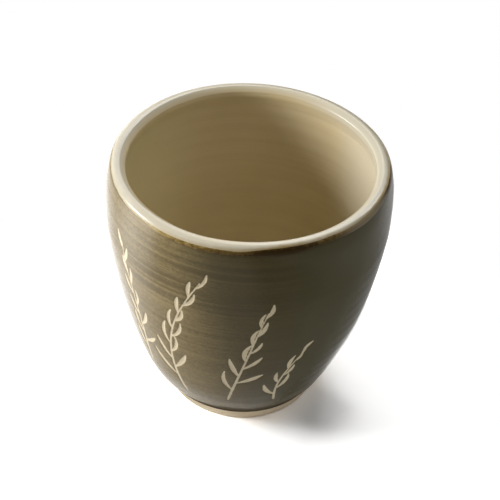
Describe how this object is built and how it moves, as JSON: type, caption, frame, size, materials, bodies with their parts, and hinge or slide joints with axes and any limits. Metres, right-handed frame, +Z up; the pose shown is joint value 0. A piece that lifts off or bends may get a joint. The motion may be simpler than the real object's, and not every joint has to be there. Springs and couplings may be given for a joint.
{
  "type": "tumbler",
  "caption": "Handleless wheel-thrown stoneware tumbler with a rounded tapering wall, a dark slip outside, a pale glazed inside and lip, and a bare foot ring.",
  "frame": {"origin": "centre of the foot ring's tread, on the surface that the tumbler stands on", "axes": "+Z up along the axis of turning, towards the lip; +X and +Y are any two directions square to it"},
  "size_m": [0.0888, 0.0888, 0.089],
  "materials": {
    "stoneware": "matte",
    "dark_slip": "satin",
    "iron_line": "gloss",
    "lip_glaze": "gloss",
    "liner_glaze": "gloss"
  },
  "bodies": {
    "root": {"thrown_body": "stoneware", "foot_ring": "stoneware", "slip_coat": "dark_slip", "iron_line": "iron_line", "lip_glaze": "lip_glaze", "liner_glaze": "liner_glaze"}
  },
  "joints": []
}
